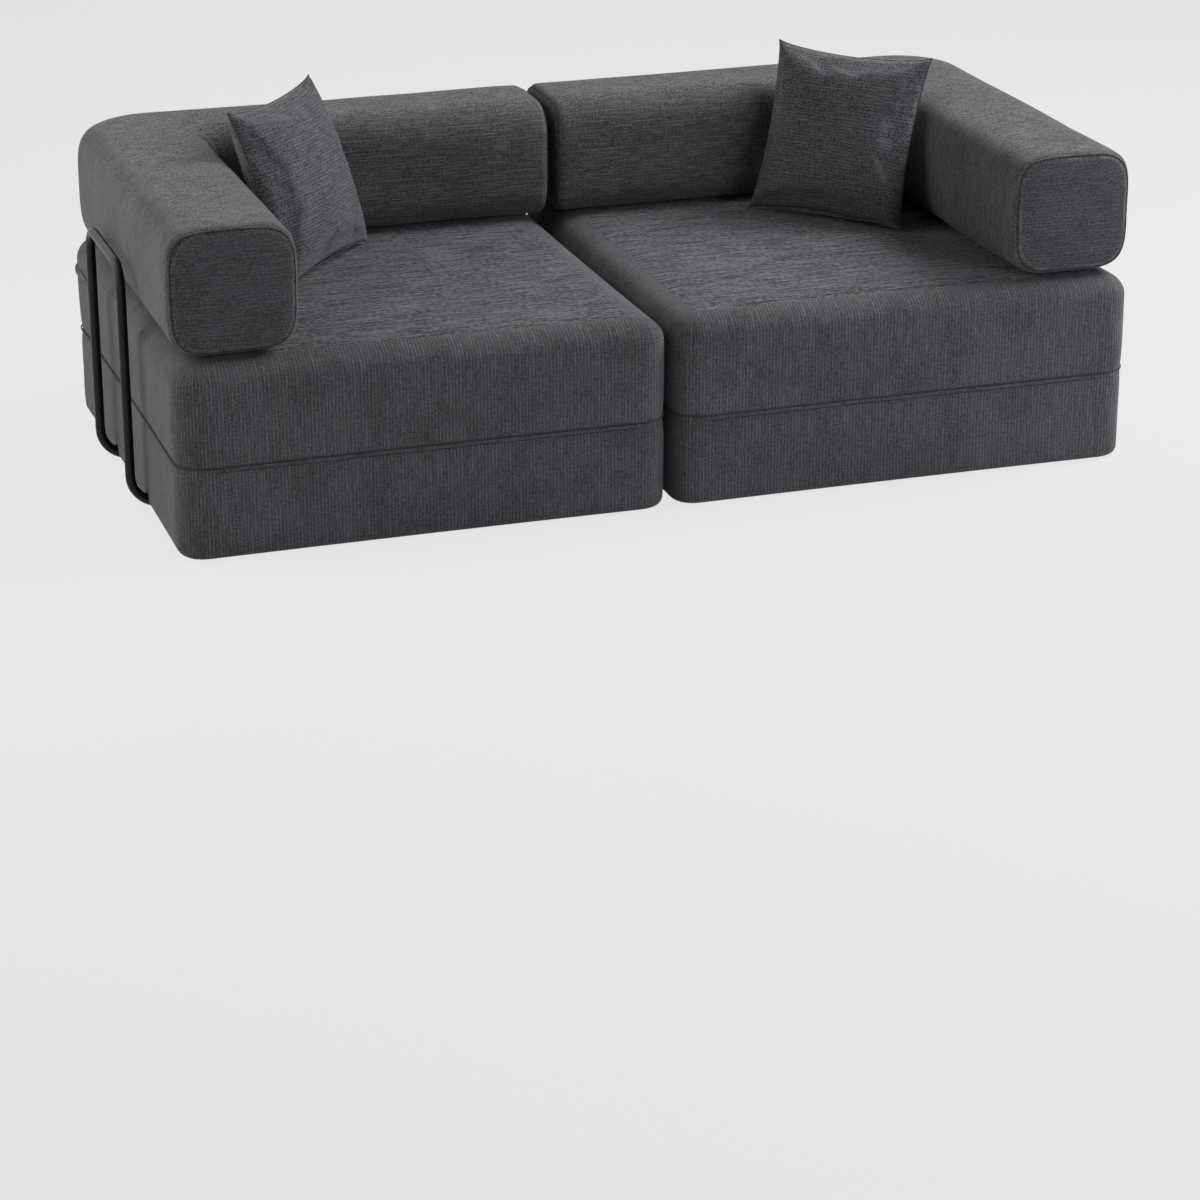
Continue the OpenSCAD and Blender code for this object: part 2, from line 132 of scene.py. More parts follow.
# Sizes of the bent tubes' feet, which press dents into the base cushions
TUBE_R = 0.010
SLOT_CLEAR = 0.0008
FOOT_Z = 0.0104
FOOT_BEND_R = 0.062
FOOT_L = 0.238
FOOT_PITCH = 0.316
SIDE_GAP, BACK_GAP = 0.018, 0.008
SIDE_BRACKET_BACK = 0.552

# Sizes of the pillows
PILLOW_TURN = radians(50)
PILLOW_LEAN = radians(20)
PILLOW_W = 0.380
PILLOW_T = 0.148
PILLOW_DRAW = 0.07
PILLOW_EDGE = 0.0016
PILLOW_STEPS = 52
PILLOW_MOST_MOVED = 0.012
PILLOW_ZIP_SHARE = 0.31


# Numbers that look random but never change
def lattice(i, j, k, seed):
    h = np.sin(i * 127.1 + j * 311.7 + k * 74.7 + seed * 53.9) * 43758.5453
    return h - np.floor(h)


def noise(p, size, seed=0):
    """Smooth noise from 0 to 1 at points p, with lumps about size across (a number, or one for each axis)."""
    q = np.asarray(p) / np.asarray(size, float)
    i = np.floor(q)
    f = q - i
    f = f * f * (3 - 2 * f)
    total = np.zeros(q.shape[:-1])
    for corner in product((0, 1), repeat=3):
        share = np.prod(np.where(corner, f, 1 - f), axis=-1)
        total += share * lattice(*np.moveaxis(i + corner, -1, 0), seed)
    return total


def lumps(points, layers, seed):
    """Sum of layers of noise, each with its depth and the size of its lumps."""
    return sum(depth * noise(points, size, seed + k) for k, (depth, size) in enumerate(layers))


def smoothstep(a, b, x):
    t = np.clip((x - a) / (b - a), 0, 1)
    return t * t * (3 - 2 * t)


# Shader nodes
def empty_material(name):
    m = bpy.data.materials.new(name)
    m.use_nodes = True
    m.node_tree.nodes.clear()
    return m, m.node_tree


def nodes_of(name):
    """A new material with its node tree and shader."""
    m, tree = empty_material(name)
    out = tree.nodes.new("ShaderNodeOutputMaterial")
    shader = tree.nodes.new("ShaderNodeBsdfPrincipled")
    tree.links.new(shader.outputs[0], out.inputs[0])
    return m, tree, shader


def math_node(tree, operation, a, b=None):
    n = tree.nodes.new("ShaderNodeMath")
    n.operation = operation
    for socket, value in zip(n.inputs, (a, b)):
        if value is None:
            continue
        if isinstance(value, (int, float)):
            socket.default_value = value
        else:
            tree.links.new(value, socket)
    return n.outputs[0]


def times(tree, a, b):
    return math_node(tree, "MULTIPLY", a, b)


def plus(tree, a, b):
    return math_node(tree, "ADD", a, b)


def weighted(tree, *pairs):
    """Sum of values, each times its share."""
    terms = [times(tree, value, share) for value, share in pairs]
    total = terms[0]
    for term in terms[1:]:
        total = plus(tree, total, term)
    return total


def wave(tree, value, period):
    return math_node(tree, "SINE", times(tree, value, 2 * pi / period))


def noise_node(tree, vector, scale, detail=2.0, roughness=0.5):
    """Noise over vector stretched by scale, a number for each axis in lumps per metre."""
    mapping = tree.nodes.new("ShaderNodeMapping")
    mapping.inputs["Scale"].default_value = scale
    tree.links.new(vector, mapping.inputs["Vector"])
    n = tree.nodes.new("ShaderNodeTexNoise")
    n.inputs["Scale"].default_value = 1.0
    n.inputs["Detail"].default_value = detail
    n.inputs["Roughness"].default_value = roughness
    tree.links.new(mapping.outputs[0], n.inputs["Vector"])
    return n.outputs["Fac"]


def ramp(tree, value, low, high, to_low=0.0, to_high=1.0):
    n = tree.nodes.new("ShaderNodeMapRange")
    n.interpolation_type = "SMOOTHSTEP"
    tree.links.new(value, n.inputs["Value"])
    for socket, number in zip(("From Min", "From Max", "To Min", "To Max"), (low, high, to_low, to_high)):
        n.inputs[socket].default_value = number
    return n.outputs[0]


def colour_mix(tree, factor, a, b):
    n = tree.nodes.new("ShaderNodeMix")
    n.data_type = "RGBA"
    tree.links.new(factor, n.inputs[0])
    for socket, value in ((n.inputs[6], a), (n.inputs[7], b)):
        if isinstance(value, tuple):
            socket.default_value = (*value, 1.0)
        else:
            tree.links.new(value, socket)
    return n.outputs[2]


def bump(tree, height, distance, strength=1.0, before=None):
    n = tree.nodes.new("ShaderNodeBump")
    n.inputs["Strength"].default_value = strength
    n.inputs["Distance"].default_value = distance
    tree.links.new(height, n.inputs["Height"])
    if before is not None:
        tree.links.new(before, n.inputs["Normal"])
    return n.outputs[0]


def finish_shader(tree, shader, colour, roughness, normal, specular):
    """Links what varies over the surface, and sets the specular level on the shader's own socket."""
    for socket, value in (("Base Color", colour), ("Roughness", roughness), ("Normal", normal)):
        tree.links.new(value, shader.inputs[socket])
    shader.inputs["Specular IOR Level"].default_value = specular


def weave_uv(tree):
    """The cloth's UV pair, its part along the yarn rows and its part across them."""
    uv = tree.nodes.new("ShaderNodeUVMap")
    uv.uv_map = "weave"
    split = tree.nodes.new("ShaderNodeSeparateXYZ")
    tree.links.new(uv.outputs[0], split.inputs[0])
    return uv.outputs[0], split.outputs[0], split.outputs[1]


# Materials
ROW_PITCH = 0.0072
THREAD = 0.0014
WEAVE_SHARE, WORN_SHARE = 0.06, 0.22
STITCH_PITCH, STITCH_TURN = 0.0045, 0.008
DOT_PITCH = 0.008


def upholstery(name, colours, rib, slub_l, streak, grain, depth, span, knot=(240, 320)):
    """Weave with rows of thick yarn along U, as long ribs (rib 1) or as broken streaks (rib 0), with slubs of
    length slub_l. streak and grain are the shares of the tone that rows and threads take, depth the relief
    of the rows, span the tones that are all dark and all light, knot the lumps of grain per metre."""
    m, tree, shader = nodes_of(name)
    uv, along, across = weave_uv(tree)
    # rows of thick yarn, each a little off its line
    wander = noise_node(tree, uv, (14, 60, 1), 1)
    phase = plus(tree, times(tree, across, 2 * pi / ROW_PITCH), times(tree, wander, 5.0 - 3.2 * rib))
    rows = ramp(tree, math_node(tree, "SINE", phase), -0.9, 0.9)
    # where a yarn is thick, and where it is thin
    slubs = ramp(tree, noise_node(tree, uv, (1 / slub_l, 1.15 / ROW_PITCH, 1), 3, 0.62), 0.40, 0.62)
    faded = ramp(tree, noise_node(tree, uv, (16, 22, 1)), 0.30, 0.62, 0.55, 1.0)
    fine_slubs = noise_node(tree, uv, (3.0 / slub_l, 4.0 / ROW_PITCH, 1), 2, 0.6)
    streaks = times(tree, slubs, plus(tree, times(tree, rows, 0.55), 0.45))
    ribs = times(tree, rows, plus(tree, times(tree, slubs, 0.6), 0.4))
    yarn = weighted(tree, (times(tree, ribs, faded), rib), (streaks, 1 - rib))
    # single threads over and under each other
    weave = times(tree, wave(tree, across, THREAD), wave(tree, along, THREAD))
    weave = plus(tree, times(tree, weave, 0.5), 0.5)
    fibre = noise_node(tree, uv, (700, 700, 1), 2, 0.7)
    crossing = ramp(tree, noise_node(tree, uv, (260, 42, 1), 2, 0.6), 0.36, 0.64)
    knots = ramp(tree, noise_node(tree, uv, (*knot, 1), 2, 0.7), 0.36, 0.64)
    speckle = weighted(tree, (knots, 0.75), (crossing, 0.25))
    # patches that the light and use make paler or darker
    worn = math_node(tree, "SUBTRACT", noise_node(tree, uv, (5.0, 7.0, 1), 3, 0.55), 0.5)
    rest = 1 - WEAVE_SHARE - streak - grain
    tone = weighted(tree, (yarn, streak), (fine_slubs, rest), (speckle, grain), (weave, WEAVE_SHARE),
                    (worn, WORN_SHARE))
    relief = bump(tree, plus(tree, yarn, times(tree, speckle, 0.25)), 0.0005 * depth)
    relief = bump(tree, weave, 0.00012, 0.8, relief)
    relief = bump(tree, fibre, 0.00012, 0.6, relief)
    colour = colour_mix(tree, ramp(tree, tone, *span), *colours)
    finish_shader(tree, shader, colour, ramp(tree, tone, 0.1, 0.9, 0.96, 0.84), relief, 0.25)
    shader.inputs["Sheen Weight"].default_value = 0.18
    shader.inputs["Sheen Roughness"].default_value = 0.45
    shader.inputs["Sheen Tint"].default_value = (0.75, 0.77, 0.82, 1)
    return m


def seam_material(name, colour, contrast):
    """Twisted sewing thread and folded cloth in a seam."""
    m, tree, shader = nodes_of(name)
    uv, along, around = weave_uv(tree)
    turn = weighted(tree, (along, 2 * pi / STITCH_PITCH), (around, 2 * pi / STITCH_TURN))
    stitch = ramp(tree, math_node(tree, "SINE", turn), -0.7, 0.7)
    tone = weighted(tree, (stitch, 0.6), (noise_node(tree, uv, (120, 300, 1)), 0.4))
    shade = colour_mix(tree, tone, tuple((1 - contrast) * c for c in colour), colour)
    finish_shader(tree, shader, shade, ramp(tree, tone, 0.0, 1.0, 0.95, 0.8),
                  bump(tree, tone, 0.0006 * contrast), 0.25)
    return m


def speckled(name, colour, other, scale, rough, depth, specular=0.5):
    """Moulded or coated surface: small lumps, scale of them per metre, in colour, roughness and relief."""
    m, tree, shader = nodes_of(name)
    coordinates = tree.nodes.new("ShaderNodeTexCoord").outputs["Object"]
    grain = noise_node(tree, coordinates, (scale, scale, scale), 3.0)
    tone = weighted(tree, (grain, 0.6), (noise_node(tree, coordinates, (9, 9, 9)), 0.4))
    shade = colour_mix(tree, ramp(tree, tone, 0.3, 0.7), colour, other)
    finish_shader(tree, shader, shade, ramp(tree, tone, 0.3, 0.7, *rough), bump(tree, grain, depth), specular)
    return m


def anti_slip(name):
    """Woven cloth with a grid of small rubber dots."""
    m, tree, shader = nodes_of(name)
    coordinates = tree.nodes.new("ShaderNodeTexCoord").outputs["Object"]
    split = tree.nodes.new("ShaderNodeSeparateXYZ")
    tree.links.new(coordinates, split.inputs[0])
    grid = times(tree, wave(tree, split.outputs[0], DOT_PITCH), wave(tree, split.outputs[1], DOT_PITCH))
    dots = ramp(tree, grid, 0.35, 0.6)
    weave = noise_node(tree, coordinates, (900, 900, 900))
    cloth = colour_mix(tree, weave, (0.022, 0.022, 0.024), (0.045, 0.045, 0.048))
    shade = colour_mix(tree, dots, cloth, (0.012, 0.012, 0.013))
    relief = bump(tree, dots, 0.0008, 1.0, bump(tree, weave, 0.0003))
    finish_shader(tree, shader, shade, ramp(tree, dots, 0, 1, 0.92, 0.5), relief, 0.5)
    return m


# pairs of dark and light yarn: the slabs and pillows, the bolsters, and the bolsters' end faces, whose tones
# are painted darker as shade on those faces
SLAB_YARN = (0.019, 0.0189, 0.0203), (0.185, 0.1838, 0.1945)
BOLSTER_YARN = (0.019, 0.019, 0.0195), (0.185, 0.185, 0.187)
SHADED_END_YARN = (0.026, 0.0258, 0.0277), (0.144, 0.1425, 0.151)
ribbed = upholstery("ribbed_cloth", SLAB_YARN, 0.85, 0.060, 0.24, 0.28, 0.50, (0.08, 0.84))
slubbed = upholstery("slubbed_cloth", BOLSTER_YARN, 0.20, 0.034, 0.34, 0.42, 0.20, (0.16, 0.76), (200, 170))
seat_cloth = upholstery("seat_cloth", SLAB_YARN, 0.25, 0.095, 0.48, 0.38, 0.50, (0.18, 0.72), (80, 140))
upright_cloth = upholstery("upright_cloth", BOLSTER_YARN, 0.35, 0.050, 0.22, 0.34, 0.30, (0.10, 0.84),
                           (260, 300))
end_cloth_painted_shade = upholstery("end_cloth_painted_shade", SHADED_END_YARN, 0.60, 0.040, 0.16, 0.28, 0.24, (0.18, 0.76))
pillow_cloth = upholstery("pillow_cloth", SLAB_YARN, 0.60, 0.040, 0.22, 0.38, 0.36, (0.16, 0.74))
seam_cloth = seam_material("seam_cloth", (0.085, 0.086, 0.092), 0.35)
# near-black seam cloth, painted shade: in the crease under the seat, and as the shadow line under the hinge
# strip
painted_shade_cloth = seam_material("groove_painted_shade", (0.012, 0.012, 0.013), 0.15)
# seam cord darker than the seam cloth, painted shade in the seams round the bolsters' end faces
seam_shade_cord = seam_material("seam_shadow", (0.040, 0.040, 0.043), 0.25)
zip_nylon = speckled("zip_nylon", (0.016, 0.016, 0.018), (0.030, 0.030, 0.033), 800, (0.38, 0.6), 0.0001)
slider_metal = speckled("slider_enamel", (0.02, 0.02, 0.022), (0.035, 0.035, 0.038), 500, (0.28, 0.42),
                        0.00006, 0.6)
powder_coat = speckled("powder_coat", (0.006, 0.006, 0.007), (0.011, 0.011, 0.012), 1400, (0.26, 0.36),
                       0.00006, 0.22)
plug_plastic = speckled("plug_plastic", (0.022, 0.022, 0.023), (0.04, 0.04, 0.041), 900, (0.5, 0.68), 0.0001)
anti_slip_cloth = anti_slip("anti_slip_cloth")


# Meshes
def flipped(rows):
    return [row[::-1] for row in rows]


def add_mesh(name, side, shape, materials, body):
    """A mesh piece of the half on that side (-1 left, 1 right), on a body or on none. Its shape is the right
    half's points, the faces, and for each face the UV pairs of its corners and its material number."""
    points, faces, uvs, kinds = shape
    points = np.array(points, float)
    faces = [list(f) for f in faces]
    uvs = [list(f) for f in uvs]
    if side < 0:
        points[:, 0] *= -1
        faces, uvs = flipped(faces), flipped(uvs)
    mesh = bpy.data.meshes.new(name)
    mesh.from_pydata(points.tolist(), [], faces)
    layer = mesh.uv_layers.new(name="weave")
    layer.data.foreach_set("uv", np.array([c for f in uvs for c in f], np.float32).ravel())
    for m in materials:
        mesh.materials.append(m)
    mesh.polygons.foreach_set("material_index", np.array(kinds, np.int32))
    mesh.polygons.foreach_set("use_smooth", [True] * len(faces))
    mesh.update()
    piece = bpy.data.objects.new(name, mesh)
    scene.collection.objects.link(piece)
    if body:
        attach(piece, body)
    return piece


def lengths_along(path):
    """Distance along an open path at each point."""
    return np.concatenate([[0], np.cumsum(np.linalg.norm(np.diff(path, axis=0), axis=1))])


def lengths_round(ring):
    """Distance along a closed ring at each point, with the whole length at the end."""
    return lengths_along(np.vstack([ring, ring[:1]]))


def skin(grid, uv_bands, slots, close_ends=True):
    """Shape of a grid of rings, closed round each ring. For each band between two rings, uv_bands has the UV
    pairs of both rings, each list one longer than the ring, and slots has the material number."""
    m, n = grid.shape[:2]
    faces, uvs, kinds = [], [], []
    for k in range(m - 1):
        low, high = uv_bands[k]
        for i in range(n):
            j = (i + 1) % n
            faces.append((k * n + i, k * n + j, (k + 1) * n + j, (k + 1) * n + i))
            uvs.append((low[i], low[i + 1], high[i + 1], high[i]))
            kinds.append(slots[k])
    points = grid.reshape(-1, 3)
    if close_ends:
        points = np.vstack([points, [grid[0].mean(0), grid[-1].mean(0)]])
        for ring, middle, flip in ((0, m * n, True), (m - 1, m * n + 1, False)):
            uv = uv_bands[0][0] if ring == 0 else uv_bands[-1][1]
            centre = np.mean(uv[:-1], axis=0)
            for i in range(n):
                face = (ring * n + i, ring * n + (i + 1) % n, middle)
                uv_face = (uv[i], uv[i + 1], centre)
                faces.append(face[::-1] if flip else face)
                uvs.append(uv_face[::-1] if flip else uv_face)
                kinds.append(slots[0] if ring == 0 else slots[-1])
    return points, faces, uvs, kinds


def plain_skin(grid, run, turns, close_ends=True):
    """Shape of one material, with the lengths run along it and turns round it as its UV pairs."""
    bands = [[[(run[r], t) for t in turns] for r in (k, k + 1)] for k in range(len(grid) - 1)]
    return skin(grid, bands, [0] * len(bands), close_ends)


def in_frame(points):
    return np.asarray(points) + ORIGIN


def tube(name, side, path, radius, material, body, closed=False, n=8, taper=0.0):
    """Round cord along a path, such as a seam. taper is the length of an open cord's thin ends."""
    path = np.array(path, float)
    ahead = np.roll(path, -1, 0) - np.roll(path, 1, 0)
    if not closed:
        ahead[0], ahead[-1] = path[1] - path[0], path[-1] - path[-2]
    ahead /= np.linalg.norm(ahead, axis=1)[:, None]
    side_way = np.cross(ahead, np.array([0.0, 0.0, 1.0]))
    steep = np.linalg.norm(side_way, axis=1) < 0.2
    side_way[steep] = np.cross(ahead[steep], np.array([0.0, 1.0, 0.0]))
    side_way /= np.linalg.norm(side_way, axis=1)[:, None]
    rise = np.cross(side_way, ahead)
    run = lengths_round(path) if closed else lengths_along(path)
    size = np.full(len(path), radius)
    if taper:
        size = radius * (0.12 + 0.88 * smoothstep(0, taper, np.minimum(run, run[-1] - run)))
    rings = [path + size[:, None] * (side_way * cos(a) + rise * sin(a)) for a in np.arange(n) * 2 * pi / n]
    grid = np.stack(rings, axis=1)
    if closed:
        grid = np.vstack([grid, grid[:1]])
    turns = np.arange(n + 1) * 2 * pi * radius / n
    points, faces, uvs, kinds = plain_skin(grid, run, turns, not closed)
    if closed:
        # the last ring is the first one again
        last = len(path) * n
        points, faces = points[:last], [tuple(v % last for v in f) for f in faces]
    return add_mesh(name, side, (points, flipped(faces), flipped(uvs), kinds), [material], body)


# Zips
def coil(name, side, lo, hi, body):
    """Wound zip coil where the frame has its plain rod, with a core between the windings."""
    radius = (hi.z - lo.z) / 2
    y, z = (lo.y + hi.y) / 2, (lo.z + hi.z) / 2
    length = hi.x - lo.x
    count = int(length / COIL_PITCH) * COIL_STEPS
    t = np.arange(count + 1)
    a = 2 * pi * t / COIL_STEPS
    wind = radius - COIL_INSET
    x = lo.x + COIL_END + (length - 2 * COIL_END) * t / count
    path = np.column_stack([x, y + wind * np.cos(a), z + wind * np.sin(a)])
    wire = tube(name, side, path, WIRE_R, zip_nylon, body, n=4)
    core_path = np.column_stack([np.linspace(lo.x, hi.x, 40), np.full(40, y), np.full(40, z)])
    tube(name + "_core", side, core_path, radius - CORE_INSET, zip_nylon, body, n=10)
    return wire


def slider(name, side, x, y, z, body):
    """Zip slider with its hanging pull, facing the back."""
    section = [(-0.0042, 0.0), (-0.0048, 0.0012), (-0.0036, 0.0030), (0.0, 0.0036)]
    section += [(-a, b) for a, b in section[2::-1]]
    lengthwise = ((0.0, 0.55), (0.0012, 0.85), (0.004, 1.0), (0.009, 0.92), (0.0115, 0.7), (0.0125, 0.4))
    grid = np.array([[(x + f, y + 0.0012 + s * b, z + s * a) for a, b in section] for f, s in lengthwise])
    turns = np.linspace(0, 0.02, len(section) + 1)
    add_mesh(name, side, plain_skin(grid, 0.002 * np.arange(len(grid)), turns), [slider_metal], body)
    loop = [(x + 0.006 + 0.0022 * cos(t), y + 0.0058 + 0.0009 * sin(t) ** 2, z - 0.011 + 0.0125 * sin(t))
            for t in np.linspace(0, 2 * pi, 29)[:-1]]
    tube(name + "_pull", side, loop, 0.0009, slider_metal, body, closed=True)


def zip_fastener(side_name, part, coil_body, slider_body):
    """Zip of a cushion or bolster, in place of the frame's rod."""
    side = SIDES[side_name]
    node = "%s_%s_zip" % (side_name, part)
    lo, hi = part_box("right_%s_zip" % part)
    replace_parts(coil(node + "_coil", side, lo, hi, coil_body), node)
    slider(node + "_slider", side, lo.x + 0.004, (lo.y + hi.y) / 2, (lo.z + hi.z) / 2, slider_body)


def press_zip(rings, near, x_from, x_to, back, depth):
    """Presses a zip's groove into the back, where near says that points lie beside the zip."""
    x = rings[..., 0]
    along = smoothstep(x_from - ZIP_FADE, x_from, x) * smoothstep(-x_to - ZIP_FADE, -x_to, -x)
    rings[..., 1] -= depth * (along * near * (rings[..., 1] > back))


# Slab cushions
def outline(inset):
    """Points of a slab cushion's outline, inset from its widest, counter-clockwise from where the right side
    meets the rear corner. The sides draw in between the corners."""
    r = max(CORNER_R - inset, RING_MIN_R)
    w, d = WIDTH - 2 * inset, DEPTH - 2 * inset
    centres = [np.array(c) for c in ((w - r, d - r), (r, d - r), (r, r), (w - r, r))]
    points = []
    for q in range(4):
        turn = pi / 2 * (q + 1)
        c, c_next = centres[q], centres[(q + 1) % 4]
        out = np.array([cos(turn), sin(turn)])
        for i in range(CORNER_STEPS + 1):
            a = pi / 2 * (q + i / CORNER_STEPS)
            points.append(c + r * np.array([cos(a), sin(a)]))
        for i in range(1, SIDE_STEPS + 1):
            f = i / (SIDE_STEPS + 1)
            points.append(c + r * out + (c_next - c) * f - out * SIDE_DRAW * 4 * f * (1 - f))
    return np.array(points) + inset


def cushion_profile(z_low, z_high, low_r, top):
    """Pairs of inset and height from the middle of the underside to the middle of the top. The lower edge has
    one radius, the top edge two half axes."""
    top_a, top_b = top
    power, steps = (2.25, 16) if top_a > CRISP_R else (2.0, 8)
    inmost = WIDTH / 2 - CAP_HOLE
    profile = [(x, z_low) for x in np.arange(inmost, low_r + CAP_STEP / 2, -CAP_STEP)]
    profile += [(low_r * (1 - sin(a)), z_low + low_r * (1 - cos(a))) for a in np.linspace(0, pi / 2, 8)]
    profile += [(0.0, z) for z in np.linspace(z_low + low_r, z_high - top_b, 12)[1:-1]]
    for t in np.linspace(0, pi / 2, steps):
        c, s = abs(cos(t)) ** (2 / power), abs(sin(t)) ** (2 / power)
        profile.append((top_a * (1 - c), z_high - top_b * (1 - s)))
    return profile + [(x, z_high) for x in np.arange(top_a + CAP_STEP, inmost, CAP_STEP)]


def with_rings(profile, heights):
    """The profile with other rings on its upright side, in place of those between them."""
    start = max(k for k, p in enumerate(profile) if p[1] < min(heights) - 1e-6 and p[0] < 1e-6)
    end = min(k for k, p in enumerate(profile) if p[1] > max(heights) + 1e-6)
    return profile[:start + 1] + [(0.0, z) for z in heights] + profile[end:]


def inward_of(rings):
    """Steps from each point of a cushion's rings towards its middle, square to its sides."""
    inward = np.zeros_like(rings)
    for axis, size in ((0, WIDTH), (1, DEPTH)):
        place = rings[..., axis]
        edge = np.minimum(place, size - place)
        inward[..., axis] = np.sign(size / 2 - place) * (1 - smoothstep(0.0, CORNER_R, edge))
    return inward


def stuffed(rings, insets, heights, crisp_z, seed):
    """The rings of a slab cushion with its soft waves, which only ever sink in from the frame's surface."""
    z_low, z_high = heights[0], heights[-1]
    rise = ((heights - z_low) / (z_high - z_low))[:, None]
    on_side = (1 - smoothstep(0.0, 0.03, insets))[:, None]
    waves = np.sin(pi * rise) * lumps(rings, SIDE_WAVES, seed)
    # the sides fall back towards both edges, the front least
    front = 1 - smoothstep(0.0, CORNER_R, rings[..., 1])
    fall = SIDE_FALL * np.abs(2 * rise - 1) ** 3 * (1 - 0.8 * front)
    # small puckers beside the seam at the crisp edge
    near = np.exp(-((heights - crisp_z) / PUCKER_REACH) ** 2)[:, None]
    sink = on_side * (waves + fall + near * lumps(rings, PUCKERS, seed + 2))
    rings = rings + inward_of(rings) * sink[..., None]
    # the faces are a little uneven where nobody has smoothed them
    face = smoothstep(0.02, 0.16, insets)[:, None]
    into = np.where(heights > (z_low + z_high) / 2, -1.0, 1.0)[:, None]
    rings[..., 2] += face * lumps(rings, FACE_DENTS, seed + 3) * into
    return rings


def ribbed_bands(insets, heights, low_r, top):
    """Which bands have ribs: those up to the upper edge, down to a crisp lower edge or round a soft one."""
    deepest = np.maximum(insets[:-1], insets[1:])
    lowest, highest = np.minimum(heights[:-1], heights[1:]), np.maximum(heights[:-1], heights[1:])
    ribs = (deepest <= 0.98 * top[1] + 0.004) & (lowest > heights[0] + 0.3 * low_r)
    if low_r > CRISP_R:
        ribs |= (deepest <= low_r + 1e-6) & (highest < heights[0] + 1.01 * low_r)
    return ribs


def cushion(name, side, z_low, z_high, low_r, top, zip_z, body, seed):
    """Stuffed slab cushion with ribs of yarn up its sides and streaks across its faces."""
    profile = with_rings(cushion_profile(z_low, z_high, low_r, top), [zip_z + d for d in ZIP_RINGS])
    insets, heights = np.array(profile).T
    rings = np.array([[(*p, z) for p in outline(inset)] for inset, z in profile])
    climb = lengths_along(np.array(profile))
    around = lengths_round(outline(0.0))
    crisp_z = z_low + low_r if low_r < top[1] else z_high - top[1]
    rings = stuffed(rings, insets, heights, crisp_z, seed)
    ends = CORNER_R + ZIP_END
    near = (np.abs(heights - zip_z) < GROOVE_HALF)[:, None]
    press_zip(rings, near, ends, WIDTH - ends, DEPTH - 0.02, GROOVE_DEPTH)
    bands, slots = [], []
    for k, has_ribs in enumerate(ribbed_bands(insets, heights, low_r, top)):
        pair = []
        for r in (k, k + 1):
            if has_ribs:
                pair.append([(climb[r], a) for a in around])
            else:
                pair.append([(p[0] + seed * 0.37, p[1]) for p in np.vstack([rings[r], rings[r][:1]])])
        bands.append(pair)
        slots.append(0 if has_ribs else 1)
    return add_mesh(name, side, skin(in_frame(rings), bands, slots), [ribbed, seat_cloth], body)


def edge_seam(name, side, z, body, seed):
    """Seam round a slab cushion near one of its edges, sewn a little unevenly."""
    ring = outline(SEAM_INSET)
    points = np.column_stack([ring, np.full(len(ring), z)])
    points[:, 2] += SEAM_WOBBLE * (noise(points, (0.05, 0.05, 1), seed) - 0.5)
    tube(name, side, in_frame(points), SEAM_R, seam_cloth, body, closed=True)


def flap(name, side, body):
    """Rolled band of cloth over the zip, along the back of the seat cushion and round both rear corners."""
    low, high = (corner.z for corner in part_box("right_zip_flap"))
    ring = outline(0.0)
    keep = ring[:, 1] > DEPTH - FLAP_WRAP
    start = next(i for i in range(len(ring)) if keep[i] and not keep[i - 1])
    line = ring[[(start + i) % len(ring) for i in range(int(keep.sum()))]]
    tangent = np.gradient(line, axis=0)
    tangent /= np.linalg.norm(tangent, axis=1)[:, None]
    outward = np.column_stack([tangent[:, 1], -tangent[:, 0]])
    run = lengths_along(line)
    end = smoothstep(0, FLAP_END, np.minimum(run, run[-1] - run))
    middle, half = (low + high) / 2, (high - low) / 2
    section = [(cos(a), sin(a)) for a in np.linspace(-pi / 2, 1.5 * pi, 21)[:-1]]
    grid = []
    for i, p in enumerate(line):
        puff = 0.85 + 0.3 * noise(np.array([[run[i], 0.0, 0.0]]), 0.06, 5)[0]
        row = []
        for c, s in section:
            out = c ** 0.7 * FLAP_T * puff if c > 0 else 0.0009 * c
            out *= 0.25 + 0.75 * end[i]
            row.append((*(p + outward[i] * out), middle + half * s * (0.86 + 0.14 * end[i])))
        grid.append(row)
    turns = np.linspace(0, 2 * (high - low) + 0.004, len(section) + 1)
    return add_mesh(name, side, plain_skin(in_frame(grid), run, turns), [upright_cloth], body)


def foot_boxes():
    """Boxes in the right half where the bracket feet run: a low one along each foot, and one for its bend."""
    half = TUBE_R + SLOT_CLEAR
    boxes = []
    for bracket, gap in (("side", SIDE_GAP), ("back", BACK_GAP)):
        deep = FOOT_BEND_R - gap - TUBE_R
        leave = FOOT_Z + FOOT_BEND_R - sqrt((FOOT_BEND_R - TUBE_R) ** 2 - deep ** 2)
        low_l = FOOT_BEND_R + FOOT_L + SLOT_CLEAR - gap - TUBE_R
        for s in (-1, 1):
            across = s * FOOT_PITCH / 2 + np.array([-half, half])
            for length, height in ((low_l, FOOT_Z + TUBE_R), (deep + SLOT_CLEAR, leave)):
                top = height + SLOT_CLEAR
                along = np.array([-length, 0.012])
                if bracket == "side":
                    boxes.append((WIDTH + along, DEPTH - SIDE_BRACKET_BACK + across, top))
                else:
                    boxes.append((WIDTH / 2 + across, DEPTH + along, top))
    return boxes


